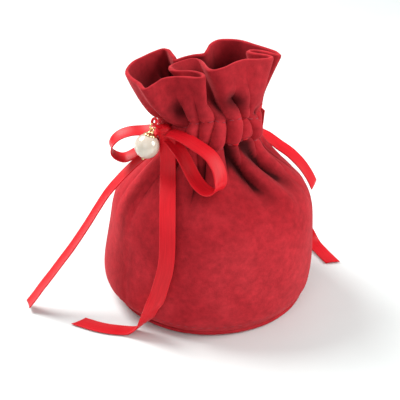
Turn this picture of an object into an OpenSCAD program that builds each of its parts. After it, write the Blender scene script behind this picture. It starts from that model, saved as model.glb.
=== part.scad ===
// Round-bottomed velvet drawstring gift pouch.
// A sewn cloth body with a sewn-in base, a double-stitched casing round the neck, a frill
// above it, two satin ribbons that leave the casing at opposite side seams, and a pearl
// charm on the front bow.
// Frame: millimetres, +Z up, origin at the centre of the base where the pouch stands.

/* [Body] */
// Radius of the belly at its widest
belly_r = 44.3; // [38:0.5:54]
// Height of the widest part of the belly
belly_z = 20; // [16:1:26]
// Radius of the body where it meets the base
base_r = 41.5; // [36:0.5:50]
// Outer radius of the gathered neck
neck_r = 20; // [19:0.5:24]
// Height of the lower stitch line of the casing
casing_z = 74; // [64:1:90]
// Thickness of the velvet with its lining
wall = 1.8; // [1.2:0.1:2.2]

/* [Casing] */
// Height of the casing between its two stitch lines
casing_h = 10; // [9.5:0.5:12]
// Clear width of the channel that the ribbons run in
channel_w = 2.6; // [2.4:0.1:3.2]
// Thickness of the facing that closes the channel
facing_t = 0.8; // [0.6:0.1:1.2]
// Width of the opening in each side seam
slot_w = 9; // [8:0.5:11]

/* [Base] */
// Thickness of the velvet base
base_t = 1.4; // [1:0.1:2]
// How far the velvet base is set in from the body seam
base_inset = 1; // [0:0.5:2]
// Thickness of the card stiffener
board_t = 1.2; // [0.8:0.1:2]
// Thickness of the lining disc
lining_t = 0.6; // [0.4:0.1:1]

/* [Frill] */
// Height of the frill above the casing at the left lobe
frill_h = 19; // [16:0.5:23]
// Thickness of the turned double edge of the frill
frill_t = 1.6; // [1.2:0.1:2]

/* [Ribbons] */
// Width of the satin ribbon
ribbon_w = 6.5; // [6:0.5:7]
// Thickness of the satin ribbon
ribbon_t = 0.6; // [0.5:0.1:0.7]
// Radius of each knot
knot_r = 3; // [2.6:0.1:3.2]

/* [Charm] */
// Radius of the pearl
pearl_r = 5; // [4:0.25:6]
// Thickness of the metal wire in the ring and the pin
wire_d = 0.6; // [0.5:0.05:0.7]
// Inner radius of the jump ring
ring_r = 1; // [0.9:0.1:1.4]
// Lean of the charm, out from the pouch
charm_tilt = 22; // [18:1:26]

/* [Hidden] */
$fn = 64;

gap = 0.3;             // running clearance between cloth pieces that move
exit_az = 218;         // plan angle of the seam that the front bow leaves from
rear_az = exit_az - 180;
casing_top = casing_z + casing_h;
casing_mid = casing_z + casing_h / 2;
layer_t = 1.2;         // outer cloth over the channel
channel_out = neck_r - layer_t;
channel_in = channel_out - channel_w;
mouth_r = channel_in - facing_t;
seam_gap = 0.3;        // half the gap between the two frill halves at a side seam
thread_r = 0.3;
knot_at = neck_r + knot_r + 0.7;
knot_z = casing_mid + 1.3;

velvet = [0.70, 0.13, 0.18];
satin = [0.84, 0.16, 0.20];
cotton = [0.55, 0.10, 0.14];
card = [0.78, 0.72, 0.62];
gold = [0.86, 0.70, 0.38];

// ---- helpers ----

function lerp(a, b, t) = a + (b - a) * t;
function unit(v) = v / norm(v);
function at(az, r, z) = [r * cos(az), r * sin(az), z];

// Catmull-Rom point on a list of points, u running from 0 to len - 1
function cr(p, u) =
    let (n = len(p) - 1, i = min(floor(u), n - 1), t = u - i,
         a = p[max(i - 1, 0)], b = p[i], c = p[i + 1], d = p[min(i + 2, n)])
    b + 0.5 * t * ((c - a) + t * ((2 * a - 5 * b + 4 * c - d)
        + t * (3 * b - a - 3 * c + d)));

// Triangles of a closed grid: rings of m points, each joined to the next. A polyhedron's
// faces run clockwise seen from outside, with the rings themselves running anticlockwise
// seen along the way they are swept.
function skin(rings, m) = [
    for (i = [0 : rings - 2], j = [0 : m - 1])
        let (k = (j + 1) % m, a = i * m)
        each [[a + m + j, a + m + k, a + k], [a + m + j, a + k, a + j]]
];

// A flat band with rounded edges swept along route; side gives the direction across the
// band at each route point; steps is the number of rings between two route points
module band(route, side, steps = 2) {
    n = len(route) - 1;
    last = n * steps;
    corners = [[0.5, 0.2], [0.35, 0.5], [-0.35, 0.5], [-0.5, 0.2],
               [-0.5, -0.2], [-0.35, -0.5], [0.35, -0.5], [0.5, -0.2]];
    m = len(corners);
    pts = [
        for (i = [0 : last])
            let (u = i / steps,
                 p = cr(route, u),
                 t = unit(cr(route, min(u + 0.05, n)) - cr(route, max(u - 0.05, 0))),
                 s0 = cr(side, u),
                 s = unit(s0 - t * (s0 * t)),
                 f = cross(t, s))
            for (c = corners) p + s * c[0] * ribbon_w + f * c[1] * ribbon_t
    ];
    caps = [[for (j = [0 : m - 1]) j], [for (j = [m - 1 : -1 : 0]) last * m + j]];
    polyhedron(points = pts, faces = concat(skin(last + 1, m), caps), convexity = 8);
}

// Short threads laid end to end round a circle at height z
module stitch_ring(r, z, count) {
    length = 2 * PI * r / count * 0.55;
    for (i = [0 : count - 1])
        rotate([0, 0, (i + 0.5) * 360 / count])
            translate([r, 0, z])
                rotate([90, 0, 0])
                    cylinder(r = thread_r, h = length, center = true, $fn = 16);
}

// Closed ring of round wire, standing in the XZ plane
module wire_ring(inner) {
    rotate([90, 0, 0])
        rotate_extrude() translate([inner + wire_d / 2, 0]) circle(d = wire_d, $fn = 24);
}

// ---- body ----

// Outline of the body from the base seam to the casing: [radius, height]
shoulder = [[1, 0], [0.975, 0.31], [0.94, 0.43], [0.865, 0.525], [0.75, 0.60], [0.61, 0.66],
            [0.44, 0.73], [0.27, 0.80], [0.13, 0.87], [0.05, 0.94], [0, 1]];
function outline(inset) = concat(
    [[base_r - inset, base_t]],
    [[lerp(base_r, belly_r, 0.75) - inset, lerp(base_t, belly_z, 0.45)]],
    [for (s = shoulder)
        [lerp(neck_r, belly_r, s[0]) - inset, lerp(belly_z, casing_z, s[1])]]
);
function outline_r(z) = lookup(z, [for (p = outline(0)) [p[1], p[0]]]);

module panel(az) {
    inner = outline(wall);
    section = concat(
        outline(0),
        [[neck_r, casing_top], [mouth_r, casing_top], [mouth_r, casing_z]],
        [for (i = [len(inner) - 1 : -1 : 0]) inner[i]]
    );
    difference() {
        rotate([0, 0, az]) rotate_extrude(angle = 180, $fn = 96) polygon(section);
        // channel for the ribbons, one millimetre inside each stitch line
        translate([0, 0, casing_z + 1])
            rotate_extrude($fn = 96)
                translate([channel_in, 0]) square([channel_w, casing_h - 2]);
        for (s = [exit_az, rear_az]) slot(s);
    }
}

// Opening left in a side seam for the ribbon
module slot(az) {
    slot_h = ribbon_w + 0.7;
    rotate([0, 0, az])
        translate([lerp(channel_in, channel_out, 0.5), -slot_w / 2, casing_mid - slot_h / 2])
            cube([channel_w + layer_t, slot_w, slot_h]);
}

module front_panel() {
    color(velvet) panel(exit_az);
}

module back_panel() {
    color(velvet) panel(rear_az);
}

// ---- frill ----

// Plan of the rim from one side seam to the other, seen from above
front_rim = [[-27, -21], [-24, -24], [-20, -18], [-14, -15], [-9, -16], [-3, -17], [1, -16],
             [6, -13], [9, -9], [13, -6], [18, -5], [23, -3], [26, 0], [23, 6], [18, 12]];
back_rim = [[18, 12], [13, 16], [7, 18], [3, 17], [0, 12], [-2, 5], [-7, 2], [-13, 1],
            [-15, 7], [-18, 15], [-22, 13], [-27, 7], [-31, 0], [-32, -9], [-30, -17], [-27, -21]];
frill_cols = 30;
frill_rows = 5;
frill_foot = casing_top + gap;

// Middle of the cloth at column u, row s, both from 0 to 1
function frill_at(rim, az, u, s) =
    let (edge = seam_gap / neck_r * 57.3,
         foot = at(az + edge + u * (180 - 2 * edge), neck_r - frill_t / 2, frill_foot),
         top = cr(rim, lerp(0.04, len(rim) - 1.04, u)),
         k = pow(s, 1.25),
         rise = frill_h + 4 * max(0, min(1, (top[0] + 12) / 20)))
    [lerp(foot[0], top[0], k), lerp(foot[1], top[1], k), frill_foot + rise * s];

function frill_out(rim, az, u, s) =
    let (d = frill_at(rim, az, min(u + 0.02, 1), s) - frill_at(rim, az, max(u - 0.02, 0), s))
    unit([d[1], -d[0], 0]);

module frill(rim, az) {
    m = 2 * (frill_cols + 1);
    pts = [
        for (i = [0 : frill_rows]) each concat(
            [for (j = [0 : frill_cols])
                let (u = j / frill_cols, s = i / frill_rows)
                frill_at(rim, az, u, s) + frill_out(rim, az, u, s) * frill_t / 2],
            [for (j = [frill_cols : -1 : 0])
                let (u = j / frill_cols, s = i / frill_rows)
                frill_at(rim, az, u, s) - frill_out(rim, az, u, s) * frill_t / 2]
        )
    ];
    foot = [for (j = [0 : frill_cols - 1]) [j + 1, m - 2 - j, m - 1 - j, j]];
    edge = [for (f = foot) [for (j = [3 : -1 : 0]) f[j] + frill_rows * m]];
    polyhedron(points = pts, faces = concat(skin(frill_rows + 1, m), foot, edge),
               convexity = 8);
}

module front_frill() {
    color(velvet) frill(front_rim, exit_az);
}

module back_frill() {
    color(velvet) frill(back_rim, rear_az);
}

// ---- base ----

module base_disc() {
    color(velvet) cylinder(r = base_r - base_inset, h = base_t, $fn = 96);
}

module base_board() {
    color(card)
        translate([0, 0, base_t]) cylinder(r = base_r - wall - gap, h = board_t, $fn = 96);
}

module base_lining() {
    color(cotton)
        translate([0, 0, base_t + board_t])
            cylinder(r = base_r - wall - gap, h = lining_t, $fn = 96);
}

// ---- stitches ----

module base_seam_stitches() {
    seam_z = base_t + 2;
    color(cotton) stitch_ring(outline_r(seam_z), seam_z, 48);
}

module lower_casing_stitches() {
    color(cotton) stitch_ring(neck_r, casing_z + 0.5, 28);
}

module upper_casing_stitches() {
    color(cotton) stitch_ring(neck_r, casing_top - 0.5, 28);
}

// Upright threads down a side seam, from the belly to the slot
module seam_stitches(az) {
    count = 12;
    for (i = [0 : count - 1]) {
        z = lerp(base_t + 5, casing_z - 4, i / (count - 1));
        translate(at(az, outline_r(z) - wall / 2, z))
            cylinder(r = thread_r, h = 2.4, center = true, $fn = 16);
    }
}

module left_seam_stitches() {
    color(cotton) seam_stitches(exit_az);
}

module right_seam_stitches() {
    color(cotton) seam_stitches(rear_az);
}

// ---- ribbons in the casing ----

// A ribbon round the channel, open at its own exit
module run(az, r) {
    open = asin((slot_w / 2 + 1) / neck_r);
    translate([0, 0, casing_mid - ribbon_w / 2])
        rotate([0, 0, az + open])
            rotate_extrude(angle = 360 - 2 * open, $fn = 96)
                translate([r - ribbon_t / 2, 0]) square([ribbon_t, ribbon_w]);
}

module front_drawstring_run() {
    color(satin) run(exit_az, channel_out - ribbon_t / 2 - 0.2);
}

module rear_drawstring_run() {
    color(satin) run(rear_az, channel_in + ribbon_t / 2 + 0.2);
}

// The two ends of a ribbon passing out through the slot, side by side, from radius start
module leads(az, start) {
    rotate([0, 0, az])
        for (y = [-1.2, 0.6])
            translate([start, y, casing_mid - ribbon_w / 2])
                cube([knot_at - start, ribbon_t, ribbon_w]);
}

// A knot pulled tight: a rounded barrel
module knot(az) {
    half = ribbon_w / 2;
    round_r = 1.2;
    translate(at(az, knot_at, knot_z))
        rotate_extrude($fn = 48)
            intersection() {
                translate([0, -half]) square([knot_r, ribbon_w]);
                union() {
                    translate([0, -half]) square([knot_r - round_r, ribbon_w]);
                    translate([0, round_r - half]) square([knot_r, ribbon_w - 2 * round_r]);
                    for (z = [round_r - half, half - round_r])
                        translate([knot_r - round_r, z]) circle(r = round_r, $fn = 32);
                }
            }
}

module front_bow_leads() {
    // they start just outside the rear ribbon, which runs on past this slot
    color(satin) leads(exit_az, channel_in + ribbon_t + 0.5);
}

module front_bow_knot() {
    color(satin) knot(exit_az);
}

module rear_leads() {
    // they start just outside the front ribbon, which runs on past this slot
    color(satin) leads(rear_az, channel_out - 0.1);
}

module rear_knot() {
    color(satin) knot(rear_az);
}

// ---- free ribbons ----
// Each route is a list of points along the middle of the ribbon; each side list gives
// the direction across the ribbon at the same points.

left_loop = [[-20, -15, 81], [-23, -12.8, 80.4], [-27, -11.6, 79.7], [-32, -11.6, 79.3],
             [-36.5, -12, 77.8], [-39.5, -12.5, 75], [-40.2, -12.6, 72], [-38.6, -12.6, 69.4],
             [-35, -12, 67.8], [-31, -11.5, 69.4], [-26, -11.4, 73.2], [-21, -13.6, 78]];
left_loop_side = [for (p = left_loop) [-0.15, 0.95, 0.2]];

right_loop = [[-16.5, -18, 81.6], [-11, -22, 81.4], [-5.6, -24.4, 78.9], [-0.6, -26.8, 76],
              [2.4, -29.2, 72.2], [3.6, -31.2, 68.6], [3.4, -32.6, 65.6], [1.6, -33.2, 63.6],
              [-1.2, -32.6, 63], [-4.2, -30.2, 64.2], [-7, -26.8, 67], [-10, -23.4, 71.9],
              [-13, -21.2, 76.2], [-16.5, -18.5, 79.6]];
right_loop_side = [for (p = right_loop) [0.68, 0.69, 0.12]];

front_tail = [[-17, -18, 80.5], [-17, -19.4, 75], [-17, -20.6, 70], [-17, -23.6, 65.5],
              [-17, -29.4, 61], [-17, -35, 55.6], [-17, -39.2, 49], [-17.2, -41.8, 40.6],
              [-18, -42.9, 33.6], [-19.8, -43, 26.5], [-21.5, -42.8, 20.4], [-23.8, -42, 15],
              [-25.8, -40.6, 9.6], [-28.6, -39.2, 4.8], [-32, -38, 1.6], [-36, -36.8, 0.7],
              [-40, -36.2, 0.7], [-44, -35.2, 0.7], [-48, -33.6, 0.7], [-52, -31.6, 0.7],
              [-55, -30, 0.7]];
front_tail_side = [for (i = [0 : len(front_tail) - 1])
    i < 11 ? [1, -0.3, 0] : i < 13 ? [0.9, 0.3, 0.1] : i < 15 ? [0.5, 0.8, 0] : [0.35, 0.93, 0]];

side_tail = [[-20, -15, 78], [-24, -12.8, 72], [-30.2, -13.6, 66.4], [-36, -15.4, 61],
             [-41.6, -17, 54.8], [-46, -18, 48.2], [-49.8, -18.6, 42], [-53.6, -19, 36],
             [-58, -19.4, 29.4], [-62.4, -19.6, 23.3], [-66.6, -19.8, 17.4], [-71, -19.8, 11.4],
             [-74.4, -19.6, 6.4], [-77.6, -19.4, 2]];
side_tail_side = [for (p = side_tail) [-0.3, 0.95, 0]];

short_tail = [[20.5, 14, 79], [20.4, 16.6, 74.6], [20.4, 18.8, 70], [21.2, 19.8, 65.6],
              [25.2, 19.9, 62.5], [29.7, 18.4, 59.5], [34.6, 15.6, 56.9], [39.4, 12.7, 52.9],
              [42.8, 11.2, 48.3], [45, 10.5, 44]];
short_tail_side = [for (i = [0:9]) i < 3 ? [-0.7, 0.67, 0.17] : i < 4 ? [-0.15, 0.94, 0.14]
                   : [0.4, 0.88, 0.2]];

long_tail = [[20, 16, 79], [19.4, 19, 74], [19, 22.4, 68], [19.4, 26.8, 61], [20.6, 32.2, 54],
             [24.4, 35.4, 47], [29, 35.8, 40], [33, 35.8, 32.6], [36.8, 36, 25.6], [40, 36.4, 19],
             [42.8, 36.4, 12.4], [45.8, 35, 6.8], [49, 31.4, 2.6], [52.2, 26.4, 0.9],
             [54.4, 21.6, 0.7], [56.4, 17, 0.7]];
long_tail_side = [for (i = [0 : len(long_tail) - 1])
    i < 10 ? [0.7, -0.7, 0] : i < 12 ? [0.85, -0.3, 0] : [0.9, 0.4, 0]];

module bow_left_loop() {
    color(satin) band(left_loop, left_loop_side);
}

module bow_right_loop() {
    color(satin) band(right_loop, right_loop_side);
}

module bow_front_tail() {
    color(satin) band(front_tail, front_tail_side);
}

module bow_side_tail() {
    color(satin) band(side_tail, side_tail_side, 1);
}

module rear_short_tail() {
    color(satin) band(short_tail, short_tail_side);
}

module rear_long_tail() {
    color(satin) band(long_tail, long_tail_side, 1);
}

// ---- pearl charm ----
// Built hanging straight down from the centre of the hanger loop, then leaned out.

link_clear = 0.05;
ring_mid = ring_r + wire_d / 2;
eye_r = 0.65;
eye_mid = eye_r + wire_d / 2;
ring_drop = 2 * ring_mid - wire_d - link_clear;
eye_drop = ring_drop + ring_mid + eye_mid - wire_d - link_clear;
cap_h = 1.6;
pearl_drop = eye_drop + eye_mid + wire_d / 2 + 0.3 + pearl_r;
hanger_out = 5.2;        // from the knot's axis out to the hanger loop
hanger_rise = 7.4;       // from the middle of the casing up to the hanger loop
hanger_at = at(exit_az + 2, knot_at + hanger_out, casing_mid + hanger_rise);

module charm_place() {
    translate(hanger_at) rotate([0, 0, exit_az]) rotate([0, -charm_tilt, 0]) children();
}

// Ribbon loop that ties the charm to the knot, with its two legs
module charm_hanger() {
    foot = at(exit_az, knot_at, knot_z + ribbon_w / 2 - 1);
    color(satin) {
        charm_place() rotate([0, 0, 90]) wire_ring(ring_r);
        for (side = [-1, 1])
            hull() {
                translate(foot) sphere(d = wire_d * 2, $fn = 16);
                charm_place()
                    translate(ring_mid * [0, side * sin(60), -cos(60)])
                        sphere(d = wire_d + 0.2, $fn = 16);
            }
    }
}

module jump_ring() {
    color(gold) charm_place() translate([0, 0, -ring_drop]) wire_ring(ring_r);
}

// Head pin with its eye; the pearl turns on it
module pearl_pin() {
    tip = pearl_drop + pearl_r;
    color(gold) charm_place() {
        translate([0, 0, -eye_drop]) rotate([0, 0, 90]) wire_ring(eye_r);
        translate([0, 0, -tip - 0.4]) cylinder(d = wire_d, h = tip + 0.4 - eye_drop - eye_mid);
        translate([0, 0, -tip - 0.5]) cylinder(r = 0.7, h = 0.4);
    }
}

// Small cup that sits over the top of the pearl
module bead_cap() {
    seat = pearl_r + 0.15;
    color(gold) charm_place() difference() {
        translate([0, 0, -pearl_drop + pearl_r - 0.9])
            cylinder(r1 = 2.6, r2 = 0.9, h = cap_h);
        translate([0, 0, -pearl_drop]) sphere(r = seat);
        translate([0, 0, -pearl_drop]) cylinder(d = wire_d, h = pearl_r * 2);
    }
}

module pearl() {
    color("ivory") charm_place() translate([0, 0, -pearl_drop]) difference() {
        sphere(r = pearl_r);
        cylinder(d = wire_d + 0.1, h = 3 * pearl_r, center = true);
    }
}

front_panel();
back_panel();
front_frill();
back_frill();
base_disc();
base_board();
base_lining();
base_seam_stitches();
lower_casing_stitches();
upper_casing_stitches();
left_seam_stitches();
right_seam_stitches();
front_drawstring_run();
rear_drawstring_run();
front_bow_leads();
front_bow_knot();
bow_left_loop();
bow_right_loop();
bow_front_tail();
bow_side_tail();
rear_leads();
rear_knot();
rear_short_tail();
rear_long_tail();
charm_hanger();
jump_ring();
pearl_pin();
bead_cap();
pearl();
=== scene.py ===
# %% [markdown]
# # A velvet gift pouch with a satin bow
# The pouch is sewn from soft velvet, gathered at the neck by two ribbons that run through a
# stitched casing, and finished with a frill, a bow and a pearl charm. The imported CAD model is
# the fixed frame: it says where every piece is. This lesson builds the soft pieces round it.

# %% Load the frame
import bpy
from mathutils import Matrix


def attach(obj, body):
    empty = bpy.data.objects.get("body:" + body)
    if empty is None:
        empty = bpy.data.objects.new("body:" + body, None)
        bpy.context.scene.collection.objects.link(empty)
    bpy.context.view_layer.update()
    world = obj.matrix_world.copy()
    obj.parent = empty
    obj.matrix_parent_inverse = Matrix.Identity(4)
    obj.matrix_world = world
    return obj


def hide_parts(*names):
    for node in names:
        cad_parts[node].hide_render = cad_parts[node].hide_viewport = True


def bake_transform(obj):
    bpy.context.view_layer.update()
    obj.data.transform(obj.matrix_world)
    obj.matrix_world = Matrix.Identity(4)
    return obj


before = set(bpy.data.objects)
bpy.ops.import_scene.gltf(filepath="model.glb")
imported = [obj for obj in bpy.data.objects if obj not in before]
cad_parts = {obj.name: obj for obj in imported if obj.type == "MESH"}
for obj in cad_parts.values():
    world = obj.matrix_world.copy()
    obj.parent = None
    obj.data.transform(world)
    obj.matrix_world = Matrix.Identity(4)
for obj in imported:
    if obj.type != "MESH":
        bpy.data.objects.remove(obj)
print("CAD nodes:", len(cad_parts))

# %% Tools for the whole lesson
import math

import bpy
import numpy as np
from mathutils import Vector

MM = 0.001
TAU = 2 * math.pi
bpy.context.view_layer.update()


def show(name, data):
    """A new object in the scene that holds the data."""
    thing = bpy.data.objects.new(name, data)
    bpy.context.scene.collection.objects.link(thing)
    return thing


# %% [markdown]
# ## Camera
# A small object looks natural through a long lens from about half a metre away, a little
# from above. The camera comes first, so that every later choice can be seen through it.

# %% Make the camera
CAMERA_AIM = Vector((-4.3, 0, 42)) * MM
CAMERA_RISE = math.radians(28)
CAMERA_DISTANCE = 450 * MM

camera_data = bpy.data.cameras.new("camera")
camera_data.lens = 95.3
camera_data.sensor_width = 36
camera = show("camera", camera_data)
camera_back = Vector((0, -math.cos(CAMERA_RISE), math.sin(CAMERA_RISE)))
camera.location = CAMERA_AIM + camera_back * CAMERA_DISTANCE
camera.rotation_euler = (math.radians(90) - CAMERA_RISE, 0, 0)
bpy.context.scene.camera = camera
print("camera at, mm:", [round(v / MM) for v in camera.location])

# %% [markdown]
# ## Finishes
# Velvet is a short pile: it is darkest where we look straight into it and lighter where it
# is seen edge-on, and patches that were brushed another way catch the light. Sheen gives
# the edge light, noise in the object's own space gives the brushed patches, and a very fine
# noise gives the pile. The shade deep in the folds is painted: the cloth carries a value of
# painted shade that mixes the velvet's colour towards a dark fold colour. Satin is smooth, with
# fine lines along the ribbon, so it reads the ribbon's own UV map. The metals, the thread and the
# pearl follow a fine noise, which shifts their colour a little and roughens the surface.

# %% A helper that starts a material
def new_material(name, roughness):
    material = bpy.data.materials.new(name)
    material.use_nodes = True
    shader = material.node_tree.nodes["Principled BSDF"]
    shader.inputs["Roughness"].default_value = roughness
    return material, material.node_tree, shader


def add(tree, kind, **inputs):
    node = tree.nodes.new(kind)
    for name, value in inputs.items():
        node.inputs[name.replace("_", " ")].default_value = value
    return node


def ramp(tree, source, stops):
    node = tree.nodes.new("ShaderNodeValToRGB")
    elements = node.color_ramp.elements
    while len(elements) < len(stops):
        elements.new(0.5)
    for element, (position, colour) in zip(elements, stops):
        element.position = position
        element.color = (*colour, 1)
    tree.links.new(source, node.inputs["Fac"])
    return node


def bump(tree, shader, height, strength, distance):
    node = add(tree, "ShaderNodeBump", Strength=strength, Distance=distance)
    tree.links.new(height, node.inputs["Height"])
    tree.links.new(node.outputs["Normal"], shader.inputs["Normal"])


# %% Velvet
# Painted shade: the dark colour that the velvet is mixed towards deep in its folds.
FOLD_SHADE = (0.036, 0.001, 0.002)      # pile seen deep in a fold


def velvet(name, deep, mid, bright):
    material, tree, shader = new_material(name, 0.9)
    shader.inputs["Specular IOR Level"].default_value = 0.12
    shader.inputs["Sheen Weight"].default_value = 0.32
    shader.inputs["Sheen Roughness"].default_value = 0.42
    shader.inputs["Sheen Tint"].default_value = (1.0, 0.17, 0.19, 1)
    place = tree.nodes.new("ShaderNodeTexCoord").outputs["Object"]
    brushed = add(tree, "ShaderNodeTexNoise", Scale=26.0, Detail=4.0, Roughness=0.56, Distortion=0.5)
    pile = add(tree, "ShaderNodeTexNoise", Scale=1500.0, Detail=2.0, Roughness=0.7)
    speck = add(tree, "ShaderNodeTexNoise", Scale=330.0, Detail=3.0, Roughness=0.65)
    for noise in (brushed, pile, speck):
        tree.links.new(place, noise.inputs["Vector"])
    patches = ramp(tree, brushed.outputs["Fac"], [(0.34, deep), (0.5, mid), (0.68, bright)])
    grain = ramp(tree, speck.outputs["Fac"], [(0.3, (0.72, 0.72, 0.72)), (0.7, (1.22, 1.22, 1.22))])
    mix = tree.nodes.new("ShaderNodeMix")
    mix.data_type = "RGBA"
    mix.blend_type = "MULTIPLY"
    mix.inputs["Factor"].default_value = 0.75
    tree.links.new(patches.outputs["Color"], mix.inputs[6])
    tree.links.new(grain.outputs["Color"], mix.inputs[7])
    # The painted shade carried by each point of the cloth mixes the colour towards FOLD_SHADE.
    painted_shade = tree.nodes.new("ShaderNodeAttribute")
    painted_shade.attribute_name = "painted_shade"
    shade = tree.nodes.new("ShaderNodeMix")
    shade.data_type = "RGBA"
    shade.blend_type = "MIX"
    shade.inputs[7].default_value = (*FOLD_SHADE, 1)
    tree.links.new(painted_shade.outputs["Fac"], shade.inputs["Factor"])
    tree.links.new(mix.outputs[2], shade.inputs[6])
    tree.links.new(shade.outputs[2], shader.inputs["Base Color"])
    bump(tree, shader, pile.outputs["Fac"], 0.35, 0.25 * MM)
    return material


velvet_cloth = velvet("crimson_velvet", (0.335, 0.011, 0.018), (0.41, 0.017, 0.026), (0.475, 0.026, 0.036))
print("made", velvet_cloth.name)


# %% Satin ribbon
def satin(name, colour, dark):
    material, tree, shader = new_material(name, 0.42)
    shader.inputs["Specular IOR Level"].default_value = 0.2
    shader.inputs["Sheen Weight"].default_value = 0.02
    shader.inputs["Sheen Roughness"].default_value = 0.4
    shader.inputs["Sheen Tint"].default_value = (1.0, 0.55, 0.55, 1)
    coordinates = tree.nodes.new("ShaderNodeTexCoord").outputs["UV"]
    stretch = tree.nodes.new("ShaderNodeMapping")
    stretch.inputs["Scale"].default_value = (26.0, 90.0, 1.0)
    tree.links.new(coordinates, stretch.inputs["Vector"])
    lines = add(tree, "ShaderNodeTexNoise", Scale=1.0, Detail=3.0, Roughness=0.6)
    tree.links.new(stretch.outputs["Vector"], lines.inputs["Vector"])
    tone = ramp(tree, lines.outputs["Fac"], [(0.3, dark), (0.65, colour)])
    tree.links.new(tone.outputs["Color"], shader.inputs["Base Color"])
    ribs = add(tree, "ShaderNodeTexWave", Scale=900.0)
    ribs.bands_direction = "Y"
    tree.links.new(coordinates, ribs.inputs["Vector"])
    bump(tree, shader, ribs.outputs["Fac"], 0.12, 0.05 * MM)
    return material


satin_ribbon = satin("red_satin", (0.68, 0.008, 0.018), (0.57, 0.006, 0.014))
print("made", satin_ribbon.name)


# %% Thread, lining, card, gold and pearl
def grained(name, roughness, low, high, scale, depth, metallic=0.0):
    """A finish whose colour and height both follow one fine noise."""
    material, tree, shader = new_material(name, roughness)
    shader.inputs["Metallic"].default_value = metallic
    place = tree.nodes.new("ShaderNodeTexCoord").outputs["Object"]
    noise = add(tree, "ShaderNodeTexNoise", Scale=scale, Detail=4.0, Roughness=0.6)
    tree.links.new(place, noise.inputs["Vector"])
    tone = ramp(tree, noise.outputs["Fac"], [(0.3, low), (0.7, high)])
    tree.links.new(tone.outputs["Color"], shader.inputs["Base Color"])
    bump(tree, shader, noise.outputs["Fac"], 0.3, depth)
    return material


thread = grained("red_thread", 0.6, (0.22, 0.008, 0.018), (0.42, 0.02, 0.04), 2500, 0.05 * MM)
lining = grained("dark_red_lining", 0.85, (0.16, 0.010, 0.018), (0.27, 0.018, 0.03), 1800, 0.1 * MM)
card = grained("grey_card", 0.9, (0.42, 0.36, 0.29), (0.58, 0.50, 0.40), 900, 0.05 * MM)
gold = grained("pale_gold", 0.22, (0.80, 0.56, 0.27), (0.95, 0.74, 0.42), 500, 0.01 * MM, metallic=1.0)


def pearl_finish():
    material, tree, shader = new_material("pearl", 0.14)
    shader.inputs["Coat Weight"].default_value = 1.0
    shader.inputs["Coat Roughness"].default_value = 0.04
    shader.inputs["Subsurface Weight"].default_value = 0.15
    shader.inputs["Subsurface Radius"].default_value = (0.002, 0.0015, 0.001)
    place = tree.nodes.new("ShaderNodeTexCoord").outputs["Object"]
    cloud = add(tree, "ShaderNodeTexNoise", Scale=260.0, Detail=2.0)
    tree.links.new(place, cloud.inputs["Vector"])
    body = ramp(tree, cloud.outputs["Fac"], [(0.3, (0.58, 0.50, 0.41)), (0.7, (0.68, 0.61, 0.52))])
    tree.links.new(body.outputs["Color"], shader.inputs["Base Color"])
    bump(tree, shader, cloud.outputs["Fac"], 0.05, 0.1 * MM)
    return material


pearl_coat = pearl_finish()
print("finishes:", [m.name for m in bpy.data.materials])

# %% [markdown]
# ## Helpers for curves and meshes
# Every soft piece here is a grid of points: rows along it and columns across it. One
# function turns a grid into a mesh, and one draws a smooth curve through a few points.

# %% Smooth curves and grids
def smooth_curve(points, count, closed=False):
    """Catmull-Rom curve through points, as count points at even steps of its length."""
    p = np.array(points, float)
    n = len(p) if closed else len(p) - 1
    u = np.linspace(0, n, n * 40 + 1)
    i = np.minimum(u.astype(int), n - 1)
    t = (u - i)[:, None]
    if closed:
        a, b, c, d = (p[(i + k) % len(p)] for k in (-1, 0, 1, 2))
    else:
        a, b, c, d = (p[np.clip(i + k, 0, n)] for k in (-1, 0, 1, 2))
    dense = b + 0.5 * t * ((c - a) + t * ((2 * a - 5 * b + 4 * c - d) + t * (3 * b - a - 3 * c + d)))
    run = np.concatenate([[0], np.cumsum(np.linalg.norm(np.diff(dense, axis=0), axis=1))])
    wanted = np.linspace(0, run[-1], count, endpoint=not closed)
    return np.stack([np.interp(wanted, run, dense[:, k]) for k in range(p.shape[1])], axis=1)


def along(points, values, count):
    """Values given at the curve's own points, spread over count even steps of its length."""
    p = np.array(points, float)
    run = np.concatenate([[0], np.cumsum(np.linalg.norm(np.diff(p, axis=0), axis=1))])
    wanted = np.linspace(0, run[-1], count)
    v = np.array(values, float)
    return np.stack([np.interp(wanted, run, v[:, k]) for k in range(v.shape[1])], axis=1)


def curve_length(points):
    return float(np.linalg.norm(np.diff(np.array(points, float), axis=0), axis=1).sum())


def unit(v):
    return v / np.maximum(np.linalg.norm(v, axis=-1, keepdims=True), 1e-12)


def make_mesh(name, points, faces, material, uv=None):
    """A mesh object at the origin from points in millimetres; uv has one pair a point."""
    mesh = bpy.data.meshes.new(name)
    mesh.from_pydata((np.asarray(points) * MM).tolist(), [], [list(f) for f in faces])
    mesh.update()
    if uv is not None:
        layer = mesh.uv_layers.new(name="UVMap")
        index = np.zeros(len(mesh.loops), int)
        mesh.loops.foreach_get("vertex_index", index)
        layer.data.foreach_set("uv", np.asarray(uv, float)[index].ravel())
    mesh.polygons.foreach_set("use_smooth", [True] * len(mesh.polygons))
    mesh.materials.append(material)
    return show(name, mesh)


def grid_faces(rows, columns, wrap):
    """Quads between rows x columns points; wrap joins the last column to the first."""
    faces = []
    for i in range(rows - 1):
        for j in range(columns if wrap else columns - 1):
            k = (j + 1) % columns
            faces.append((i * columns + j, i * columns + k, (i + 1) * columns + k, (i + 1) * columns + j))
    return faces


def closed_faces(rows, columns):
    """Faces of a solid: a grid wrapped round, with a cap on its first and last row."""
    first_cap = tuple(range(columns))[::-1]
    last_cap = tuple(range((rows - 1) * columns, rows * columns))
    return grid_faces(rows, columns, wrap=True) + [first_cap, last_cap]


def uv_pairs(u, v):
    """One uv pair for each point of a grid, from values that broadcast over it."""
    return np.stack(np.broadcast_arrays(u, v), axis=-1).reshape(-1, 2)


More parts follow.
